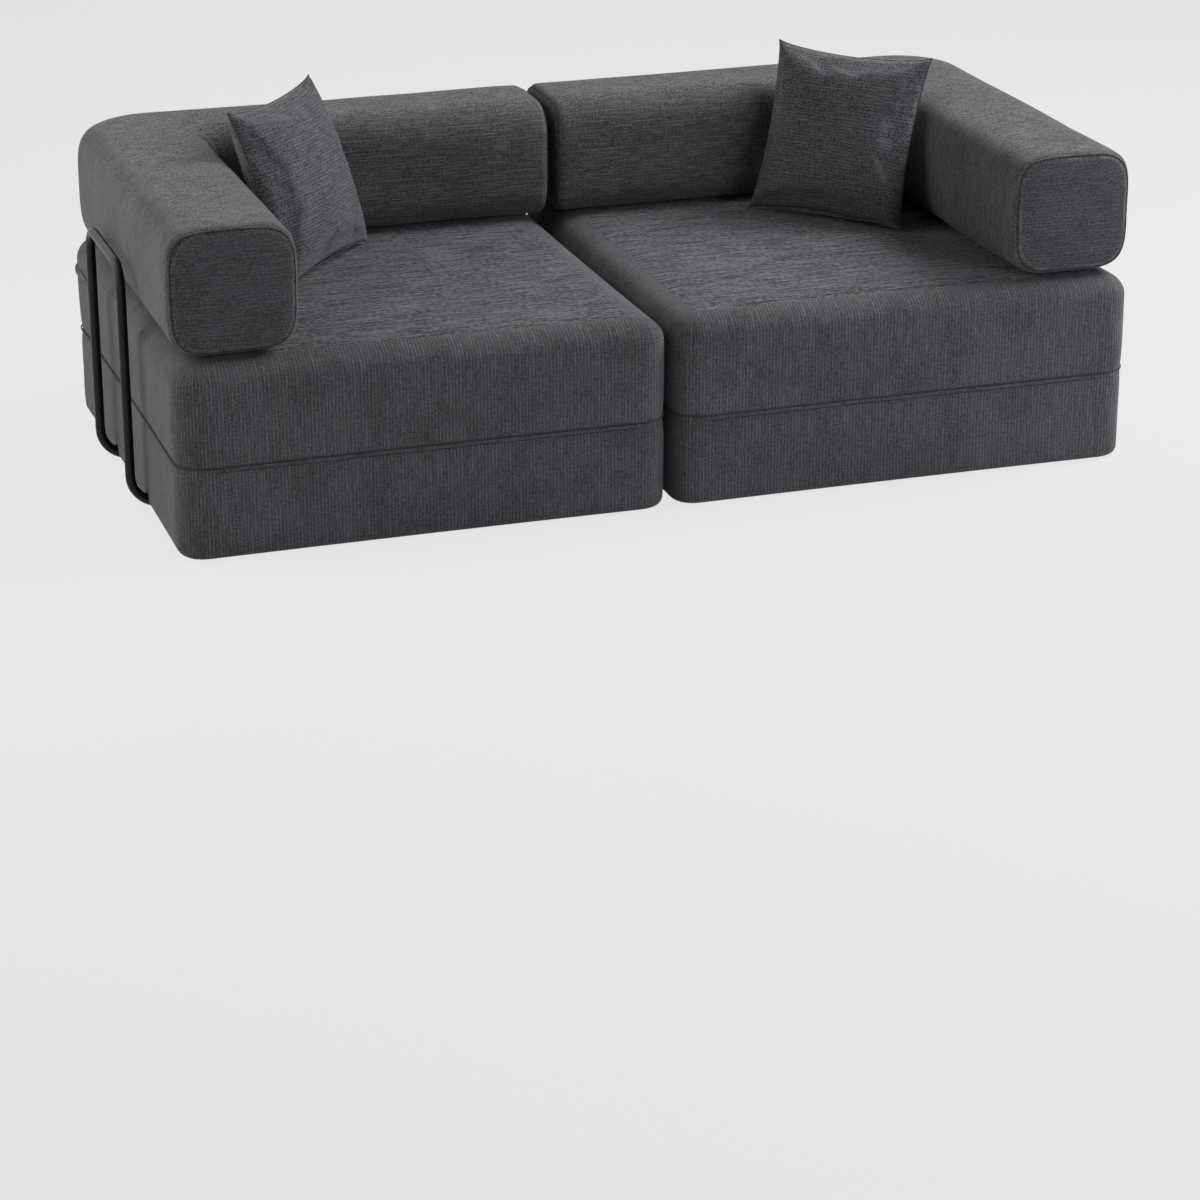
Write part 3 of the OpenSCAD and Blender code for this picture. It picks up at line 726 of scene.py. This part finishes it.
def press_feet(piece, side):
    """Takes the dents of the bracket feet out of a piece."""
    cutters = []
    for (x0, x1), (y0, y1), top in foot_boxes():
        corners = ((x0, y0), (x1, y0), (x1, y1), (x0, y1))
        points = in_frame([(x, y, z) for z in (-0.01, top) for x, y in corners])
        faces = [(3, 2, 1, 0), (4, 5, 6, 7), (0, 1, 5, 4), (1, 2, 6, 5), (2, 3, 7, 6), (3, 0, 4, 7)]
        if side < 0:
            points[:, 0] *= -1
            faces = flipped(faces)
        mesh = bpy.data.meshes.new("cutter")
        mesh.from_pydata(points.tolist(), [], faces)
        cutter = bpy.data.objects.new("cutter", mesh)
        scene.collection.objects.link(cutter)
        cutters.append(cutter)
        modifier = piece.modifiers.new("dent", "BOOLEAN")
        modifier.operation, modifier.object, modifier.solver = "DIFFERENCE", cutter, "EXACT"
    bpy.context.view_layer.update()
    cut = bpy.data.meshes.new_from_object(piece.evaluated_get(bpy.context.evaluated_depsgraph_get()))
    piece.modifiers.clear()
    piece.data = cut
    cut.set_sharp_from_angle(angle=radians(48))
    for cutter in cutters:
        bpy.data.objects.remove(cutter)


def base_cushion(side_name, side, seed):
    body = side_name + "_base"
    piece = cushion(body + "_cushion", side, BASE_LOW, BASE_TOP, BASE_BOTTOM_R, (CRISP_R, CRISP_R),
                    BASE_ZIP_Z, body, seed)
    press_feet(piece, side)
    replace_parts(piece, body + "_cover", body + "_foam")
    edge_seam(body + "_top_seam", side, BASE_TOP - SEAM_SINK, body, seed)
    zip_fastener(side_name, "base", body, body)


def seat_cushion(side_name, side, seed):
    body = side_name + "_seat"
    piece = cushion(body + "_cushion", side, SEAT_LOW, SEAT_TOP, CRISP_R, SEAT_ROUND, SEAT_ZIP_Z, body, seed)
    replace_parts(piece, body + "_cover", body + "_foam")
    edge_seam(body + "_low_seam", side, SEAT_LOW + SEAM_SINK, body, seed + 1)
    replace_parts(flap(side_name + "_zip_flap_band", side, body), side_name + "_zip_flap")
    zip_fastener(side_name, "seat", side_name + "_zip", body)


for side_name, side in SIDES.items():
    seed = 10 if side > 0 else 40
    base_cushion(side_name, side, seed)
    seat_cushion(side_name, side, seed + 5)


# Hinge strips
def hinge_strip(side_name, side):
    """Folded strip of cloth sewn to both cushions in the crease."""
    low = BASE_TOP - 0.0092
    crease = (BASE_TOP + SEAT_LOW) / 2
    section = [(0.0008, low), (-0.0010, low + 0.0007), (-0.0016, low + 0.0022), (-0.0015, low + 0.0052),
               (-0.0004, crease - 0.0022), (0.0022, crease - 0.0009), (0.0050, crease),
               (0.0032, crease + 0.0009), (0.0020, crease + 0.0020), (0.0028, crease + 0.0034)]
    xs = np.linspace(CORNER_R * 0.72, WIDTH - CORNER_R * 0.72, 110)
    ring = outline(0.0)
    front = ring[ring[:, 1] < 0.03]
    front = front[np.argsort(front[:, 0])]
    ys = np.interp(xs, front[:, 0], front[:, 1])
    end = smoothstep(0, 0.02, np.minimum(xs - xs[0], xs[-1] - xs))
    outer = []
    for x, y0, e in zip(xs, ys, end):
        pinch = 0.35 + 0.65 * e
        lump = 0.0006 * (noise(np.array([[x, 0.0, 0.0]]), 0.04, 70 + side)[0] - 0.5)
        outer.append([(x, y0 + 0.0012 + (y - 0.0012) * pinch + lump, crease + (z - crease) * (0.9 + 0.1 * e))
                      for y, z in section])
    outer = np.array(outer)
    inner = outer[:, ::-1].copy()
    inner[..., 1] += 0.0009
    grid = np.concatenate([outer, inner], axis=1)
    points, faces, uvs, kinds = plain_skin(in_frame(grid), xs, lengths_round(grid[0]))
    # the part that is tucked into the crease gets near-black cloth, painted shade of the crease
    tucked_shade = range(4, len(section))
    kinds = [int(f % grid.shape[1] in tucked_shade) for f in range(len(faces))]
    strip = add_mesh(side_name + "_hinge_strip", side, (points, faces, uvs, kinds), [ribbed, painted_shade_cloth], None)
    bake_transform(strip)
    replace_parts(strip, side_name + "_hinge_seam")
    # stitching along the strip's lower edge, near-black as a painted shadow line under that edge
    line = [(x, y - 0.0003, low - 0.0006) for x, y in zip(xs[2:-2], ys[2:-2])]
    tube(side_name + "_strip_stitching_shadow_line", side, in_frame(line), 0.0006, painted_shade_cloth, side_name + "_base",
         taper=0.02)


for side_name, side in SIDES.items():
    hinge_strip(side_name, side)


# Bolsters
def bolster_stations():
    """Inner and outer points of the bolster's sections along the L, from the arm's end to the back's, and how
    far each section draws in."""
    xi, xo = WIDTH - BOLSTER_T, WIDTH
    yo = DEPTH - BACK_SET
    yi = yo - BOLSTER_T
    arm_top, back_top = yi - BOLSTER_INNER_R, xi - BOLSTER_INNER_R
    # pairs of inset and depth: the crowned end face, then its rounded edge
    ends = [(CAP_INSET, 0), (0.095, 0), (0.080, 0.0002), (0.064, 0.0006), (0.049, 0.0013), (0.036, 0.0023)]
    for a in np.linspace(0, pi / 2, 9):
        depth = BOLSTER_END_R * (1 - cos(a)) * (1 - END_CROWN / BOLSTER_END_R)
        ends.append((BOLSTER_END_R * (1 - sin(a)), END_CROWN + depth))
    even = np.linspace(0, 1, 46)[1:-1]
    stations = [((xi, ARM_SET + d), (xo, ARM_SET + d), inset) for inset, d in ends]
    for y in ARM_SET + BOLSTER_END_R + even * (arm_top - ARM_SET - BOLSTER_END_R):
        stations.append(((xi, y), (xo, y), 0.0))
    corner_x, corner_y = xo - BOLSTER_CORNER_R, yo - BOLSTER_CORNER_R
    for a in np.linspace(0, pi / 2, 27):
        stations.append(((back_top + BOLSTER_INNER_R * cos(a), arm_top + BOLSTER_INNER_R * sin(a)),
                         (corner_x + BOLSTER_CORNER_R * cos(a), corner_y + BOLSTER_CORNER_R * sin(a)), 0.0))
    for x in back_top + even * (BOLSTER_END_R - back_top):
        stations.append(((x, yi), (x, yo), 0.0))
    return stations + [((d, yi), (d, yo), inset) for inset, d in ends[::-1]]


def superellipse(a, b, angle, power):
    c, s = np.cos(angle), np.sin(angle)
    return a * np.sign(c) * np.abs(c) ** (2 / power), b * np.sign(s) * np.abs(s) ** (2 / power)


def section_angles():
    """Angles that space points evenly round the bolster's section, with rows of points beside its zip."""
    a, b = BOLSTER_T / 2, BOLSTER_HALF_H
    t = np.linspace(0, 2 * pi, 4001)
    x, y = superellipse(a, b, t, BOLSTER_POWER)
    run = lengths_along(np.column_stack([x, y]))
    even = np.interp(np.linspace(0, run[-1], BOLSTER_RING_POINTS, endpoint=False), run, t)
    angles = [v for v in even if abs(np.interp(v, t, y)) > BOLSTER_ZIP_CLEAR or np.interp(v, t, x) < 0]
    first = t[t < pi / 2]
    first_heights = superellipse(a, b, first, BOLSTER_POWER)[1]
    for d in BOLSTER_ZIP_RINGS:
        height = BOLSTER_ZIP_Z - BOLSTER_MID_Z + d
        angle = np.interp(abs(height), first_heights, first)
        angles.append(angle if height >= 0 else 2 * pi - angle)
    return np.array(sorted(angles))


def bolster_rings(stations, angles):
    """Rings of points along the L, with their middles and their directions to the outer side."""
    rings, centres, outwards = [], [], []
    for inner, outer, inset in stations:
        inner, outer = np.array(inner), np.array(outer)
        w = np.linalg.norm(outer - inner)
        u = (outer - inner) / w
        # the section's corners grow rounder as it draws in at the ends
        power = BOLSTER_POWER - 0.5 * min(inset / CAP_INSET, 1)
        x, z = superellipse(w / 2 - inset, BOLSTER_HALF_H - inset, angles, power)
        centre = (inner + outer) / 2
        rings.append(np.column_stack([centre[0] + u[0] * x, centre[1] + u[1] * x, BOLSTER_MID_Z + z]))
        centres.append(centre)
        outwards.append(u)
    return np.array(rings), np.array(centres), np.array(outwards)


def bolster_sink(rings, run, around, insets, angles, seed):
    """How deep each point sinks in: soft waves, stretch folds and puckers, always inwards."""
    body_part = 1 - smoothstep(0.0, 0.05, insets)[:, None]
    # folds that run round the section where the L turns, deepest at the inner side
    arm_run = DEPTH - BACK_SET - BOLSTER_T - BOLSTER_INNER_R - ARM_SET - BOLSTER_END_R
    turn = np.exp(-((run - arm_run - FOLDS_AT) / FOLDS_REACH) ** 2)[:, None]
    inner_side = np.clip(-np.cos(angles), 0, 1)[None, :] ** 0.6
    phase = run[:, None] * 2 * pi / FOLD_PITCH + 2.4 * noise(rings, 0.08, seed + 2)
    folds = FOLD_DEPTH * turn * inner_side * (0.5 + 0.5 * np.sin(phase)) ** 2
    # puckers beside the seams at both ends
    end_run = np.minimum(run, run[-1] - run)[:, None]
    pucker = END_PUCKER * np.exp(-((end_run - END_PUCKER_AT) / END_PUCKER_REACH) ** 2)
    spread = np.dstack(np.broadcast_arrays(around, 0.2 * run[:, None], 0.0))
    waves = lumps(rings, BOLSTER_WAVES, seed) * (1 - 0.6 * turn)
    return body_part * (waves + folds + pucker * noise(spread, 0.020, seed + 3))


def bolster_bands(rings, centres, outwards, end_faces, off, seed):
    """UV bands: level yarn on the end faces, and yarn that runs round the section on all others."""
    bands = []
    for k, is_end in enumerate(end_faces):
        pair = []
        for r in (k, k + 1):
            if is_end:
                ring = np.vstack([rings[r], rings[r][:1]])
                flat = ring[:, 0] if r < len(rings) / 2 else ring[:, 1]
                pair.append([(f + 3.0, z) for f, z in zip(flat, ring[:, 2])])
            else:
                pair.append([tuple(centres[r] - outwards[r] * d + seed * 0.23) for d in off])
        bands.append(pair)
    return bands


def bolster(name, side, body, seed):
    """Stuffed L-shaped bolster: back and arm in one, crowned on every face."""
    stations = bolster_stations()
    angles = section_angles()
    rings, centres, outwards = bolster_rings(stations, angles)
    insets = np.array([station[2] for station in stations])
    run = lengths_along(centres)
    around = lengths_along(rings[40])
    away = rings - np.column_stack([centres, np.full(len(centres), BOLSTER_MID_Z)])[:, None, :]
    away /= np.maximum(np.linalg.norm(away, axis=2), 1e-6)[..., None]
    rings = rings - away * bolster_sink(rings, run, around, insets, angles, seed)[..., None]
    lo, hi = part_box("right_bolster_zip")
    near = np.abs(rings[..., 2] - BOLSTER_ZIP_Z) < BOLSTER_GROOVE_HALF
    press_zip(rings, near, lo.x - ORIGIN[0] + 0.002, hi.x - ORIGIN[0] - 0.002, DEPTH - 0.03,
              BOLSTER_GROOVE_DEPTH)
    # lengths round the section, counted from its top
    around = np.append(around, around[-1] + np.linalg.norm(rings[40][0] - rings[40][-1]))
    off = around - around[int(np.argmin(np.abs(angles - pi / 2)))]
    off[off > around[-1] / 2] -= around[-1]
    end_faces = np.minimum(insets[:-1], insets[1:]) > END_FACE_INSET
    bands = bolster_bands(rings, centres, outwards, end_faces, off, seed)
    points, faces, uvs, kinds = skin(in_frame(rings), bands, [int(is_end) for is_end in end_faces])
    # coarser yarn shows on the flat top than on the upright faces, the underside and round the ends
    n = len(angles)
    level = superellipse(1, 1, angles, BOLSTER_POWER)[1] > 0.97
    for f in range(len(end_faces) * n):
        k, i = divmod(f, n)
        if kinds[f] == 0 and not (level[i] and insets[k] == insets[k + 1] == 0):
            kinds[f] = 2
    piece = add_mesh(name, side, (points, flipped(faces), flipped(uvs), kinds),
                     [slubbed, end_cloth_painted_shade, upright_cloth], body)
    # seams round both end faces, their cord painted darker as shade in the seam
    at = next(k for k, inset in enumerate(insets) if inset < END_SEAM_INSET)
    for label, k, out in (("_arm", at, (0, -1, 0)), ("_inner", len(rings) - 1 - at, (-1, 0, 0))):
        line = in_frame(rings[k] + END_SEAM_OUT * np.array(out))
        tube(name + label + "_seam", side, line, END_SEAM_R, seam_shade_cord, body, closed=True)
    return piece


for side_name, side in SIDES.items():
    body = side_name + "_bolster"
    piece = bolster(side_name + "_l_bolster", side, body, 20 if side > 0 else 50)
    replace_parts(piece, body + "_cover", body + "_foam")
    zip_fastener(side_name, "bolster", body, body)


# Pillows
def pillow_frame():
    """Matrix from the pillow's own axes (x across, y thick, z up) to its place, and its size."""
    turn = Matrix.Rotation(-PILLOW_TURN, 4, "Z") @ Matrix.Rotation(-PILLOW_LEAN, 4, "X")
    inverse = turn.inverted()
    points = np.array([inverse @ v.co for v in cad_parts["right_pillow_cover"].data.vertices])
    middle = (points.min(0) + points.max(0)) / 2
    return turn @ Matrix.Translation(Vector(middle)), points.max(0) - points.min(0)


def pillow_panels(n, uv_shift):
    """Two panels of n by n faces sewn together round their rim, in the pillow's own axes: points, faces, UV
    pairs, and the numbers of the points along the rim."""
    span = np.linspace(-1, 1, n + 1)
    u, v = np.meshgrid(span, span, indexing="ij")
    x = PILLOW_W / 2 * u * (1 - PILLOW_DRAW * (1 - v * v))
    z = PILLOW_W / 2 * v * (1 - PILLOW_DRAW * (1 - u * u))
    full = np.maximum((1 - u * u) * (1 - v * v), 0) ** 0.55
    rise = PILLOW_EDGE + (PILLOW_T / 2 - PILLOW_EDGE) * full
    rim = [i * (n + 1) for i in range(n)] + [n * (n + 1) + j for j in range(n)]
    rim += [i * (n + 1) + n for i in range(n, 0, -1)] + list(range(n, 0, -1))
    points = [tuple(p) for p in np.stack([x, -rise, z], -1).reshape(-1, 3)]
    # the back panel shares the points of the rim
    index = {k: k for k in rim}
    for k, p in enumerate(np.stack([x, rise, z], -1).reshape(-1, 3)):
        if k in index:
            points[k] = (p[0], 0.0, p[2])
        else:
            index[k] = len(points)
            points.append(tuple(p))
    faces, uvs = [], []
    flat = np.stack([u, v], -1).reshape(-1, 2) * PILLOW_W / 2
    for i in range(n):
        for j in range(n):
            first, after = i * (n + 1) + j, (i + 1) * (n + 1) + j
            corners = (first, after, after + 1, first + 1)
            faces.append(corners)
            uvs.append(tuple(flat[k] + uv_shift for k in corners))
            faces.append(tuple(index[k] for k in corners[::-1]))
            uvs.append(tuple(flat[k] - uv_shift for k in corners[::-1]))
    return np.array(points), faces, uvs, rim


def blow_up(points, faces):
    """Runs the cloth: it starts slack and slightly small, and pressure fills it into puckers at its edge."""
    start = points.copy()
    start[:, 1] *= 0.86
    start[:, 1] += 0.004 * (noise(points, 0.045, 3) - 0.5) * (np.abs(start[:, 1]) > 0.01)
    mesh = bpy.data.meshes.new("pillow_sim")
    mesh.from_pydata(start.tolist(), [], faces)
    sim = bpy.data.objects.new("pillow_sim", mesh)
    scene.collection.objects.link(sim)
    cloth = sim.modifiers.new("cloth", "CLOTH")
    s = cloth.settings
    s.quality = 6
    s.mass = 0.25
    s.tension_stiffness = s.compression_stiffness = 12
    s.shear_stiffness = 4
    s.bending_stiffness = 0.35
    s.use_pressure = True
    s.uniform_pressure_force = 4
    s.effector_weights.gravity = 0
    cloth.collision_settings.use_collision = False
    cloth.point_cache.frame_start, cloth.point_cache.frame_end = 1, 22
    for f in range(1, 19):
        scene.frame_set(f)
    done = sim.evaluated_get(bpy.context.evaluated_depsgraph_get()).data
    result = np.array([v.co for v in done.vertices])
    bpy.data.objects.remove(sim)
    scene.frame_set(1)
    moved = result - points
    far = np.linalg.norm(moved, axis=1)
    moved *= np.minimum(1, PILLOW_MOST_MOVED / np.maximum(far, 1e-9))[:, None]
    return points + moved


def fit_pillow(points, size):
    """Fits the pillow to the space that its frame solid holds."""
    for axis in range(3):
        low, high = points[:, axis].min(), points[:, axis].max()
        most = 1.0 if axis == 1 else 1.10
        points[:, axis] = (points[:, axis] - (low + high) / 2) * min(most, size[axis] / (high - low))
    return points


def pillow(side_name, side, place, size):
    body = side_name + "_pillow"
    points, faces, uvs, rim = pillow_panels(PILLOW_STEPS, 2.0 + side)
    points = blow_up(points, faces)
    points = fit_pillow(points, size)
    slack = 0.0030 * noise(points + side, (0.11, 1, 0.11), 31) + 0.0012 * noise(points, (0.03, 1, 0.03), 32)
    points[:, 1] -= np.sign(points[:, 1]) * slack * smoothstep(0.004, 0.03, np.abs(points[:, 1]))
    placed = np.array([place @ Vector(p) for p in points])
    shape = (placed, faces, uvs, [0] * len(faces))
    piece = add_mesh(side_name + "_throw_pillow", side, shape, [pillow_cloth], body)
    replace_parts(piece, body + "_cover", body + "_filling")
    tube(body + "_seam", side, placed[rim], 0.0011, seam_cloth, body, closed=True)
    low_edge = -(PILLOW_W / 2) * (1 - PILLOW_DRAW) - 0.0014
    zip_line = np.linspace(-PILLOW_ZIP_SHARE, PILLOW_ZIP_SHARE, 60) * PILLOW_W
    zip_path = [tuple(place @ Vector((x, 0.0, low_edge))) for x in zip_line]
    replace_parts(tube(body + "_zip_tape", side, zip_path, 0.0013, zip_nylon, body), body + "_zip")


pillow_place, pillow_size = pillow_frame()
for side_name, side in SIDES.items():
    pillow(side_name, side, pillow_place, pillow_size)


# Nodes kept from the frame
def dress(node, material):
    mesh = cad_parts[node].data
    mesh.materials.clear()
    mesh.materials.append(material)
    for p in mesh.polygons:
        p.material_index = 0


for side_name in SIDES:
    dress(side_name + "_base_panel", anti_slip_cloth)
    for bracket in (side_name + "_back", side_name + "_side"):
        dress(bracket + "_bracket", powder_coat)
        dress(bracket + "_plugs", plug_plastic)


# Floor, world, lights and camera
BACKDROP = 0.83
FLOOR_HALF, FLOOR_Z = 40, -0.0002
FLOOR_GLOW = 0.90
FRAME_PX = 1200


def mixed(tree, shade, first, second, kind):
    """Output of that kind, which shows second where shade is 1 and first where it is 0."""
    out = tree.nodes.new(kind)
    mix = tree.nodes.new("ShaderNodeMixShader")
    for value, socket in ((shade, mix.inputs[0]), (first.outputs[0], mix.inputs[1]),
                          (second.outputs[0], mix.inputs[2]), (mix.outputs[0], out.inputs[0])):
        tree.links.new(value, socket)


def floor_material():
    """Pale paper that hardly shows shadows when it is seen, and is lit plainly for everything else."""
    m, tree = empty_material("floor_paper")
    lit = tree.nodes.new("ShaderNodeBsdfDiffuse")
    plain = tree.nodes.new("ShaderNodeEmission")
    for shader in (lit, plain):
        shader.inputs["Color"].default_value = (BACKDROP, BACKDROP, BACKDROP, 1)
    rays = tree.nodes.new("ShaderNodeLightPath").outputs
    seen = math_node(tree, "MAXIMUM", rays["Is Camera Ray"], rays["Is Glossy Ray"])
    mixed(tree, times(tree, seen, FLOOR_GLOW), lit, plain, "ShaderNodeOutputMaterial")
    return m


floor_mesh = bpy.data.meshes.new("floor")
corners = [(x * FLOOR_HALF, y * FLOOR_HALF, FLOOR_Z) for x, y in ((-1, -1), (1, -1), (1, 1), (-1, 1))]
floor_mesh.from_pydata(corners, [], [(0, 1, 2, 3)])
floor_mesh.materials.append(floor_material())
floor = bpy.data.objects.new("floor", floor_mesh)
scene.collection.objects.link(floor)

world = bpy.data.worlds.new("studio")
scene.world = world
world.use_nodes = True
sky = world.node_tree
sky.nodes.clear()
light_sky, seen_sky = (sky.nodes.new("ShaderNodeBackground") for k in range(2))
seen_sky.inputs["Color"].default_value = (BACKDROP, BACKDROP, BACKDROP, 1)
light_sky.inputs["Color"].default_value = (0.98, 0.985, 1.0, 1)
light_sky.inputs["Strength"].default_value = 0.01
rays = sky.nodes.new("ShaderNodeLightPath").outputs
seen = math_node(sky, "MAXIMUM", rays["Is Camera Ray"], rays["Is Glossy Ray"])
seen = math_node(sky, "MAXIMUM", seen, rays["Is Transmission Ray"])
mixed(sky, seen, light_sky, seen_sky, "ShaderNodeOutputWorld")


def area_light(name, place, aim, size, power, colour=(1, 1, 1)):
    data = bpy.data.lights.new(name, "AREA")
    data.shape = "RECTANGLE"
    data.size, data.size_y = size
    data.energy = power
    data.color = colour
    lamp = bpy.data.objects.new(name, data)
    lamp.location = place
    lamp.rotation_euler = (Vector(aim) - Vector(place)).to_track_quat("-Z", "Y").to_euler()
    lamp.visible_camera = False
    scene.collection.objects.link(lamp)


area_light("key_right", (3.2, -0.2, 3.2), (0.3, 0.0, 0.3), (2.2, 2.2), 168, (1.0, 0.99, 0.99))
area_light("front_right", (2.6, -4.8, 2.4), (0.2, 0.0, 0.3), (2.4, 2.0), 66, (0.91, 0.895, 1.0))
area_light("side_left", (-2.2, 0.2, 1.4), (-1.0, 0.0, 0.5), (2.2, 2.2), 29, (1.0, 0.998, 0.985))
area_light("back_high", (0.4, 4.2, 3.0), (0.0, 0.0, 0.4), (2.6, 1.6), 20)


def photo_camera(azimuth, elevation, roll, focal_px, place):
    """Camera that looks along the azimuth and down by the elevation, in degrees."""
    a, e, r = radians(azimuth), radians(elevation), radians(roll)
    ahead = Vector((-sin(a) * cos(e), cos(a) * cos(e), -sin(e)))
    right = ahead.cross(Vector((0, 0, 1))).normalized()
    up = right.cross(ahead)
    right, up = right * cos(r) + up * sin(r), -right * sin(r) + up * cos(r)
    data = bpy.data.cameras.new("photo_camera")
    data.sensor_width = 36.0
    data.lens = focal_px / FRAME_PX * data.sensor_width
    data.clip_end = 200
    camera = bpy.data.objects.new("photo_camera", data)
    rows = [(right[k], up[k], -ahead[k], place[k]) for k in range(3)]
    camera.matrix_world = Matrix((*rows, (0, 0, 0, 1)))
    scene.collection.objects.link(camera)
    return camera


scene.camera = photo_camera(-18.435, 21.463, -0.040, 3562.2, (-2.3114, -7.0028, 2.4954))
scene.view_settings.view_transform = "Standard"
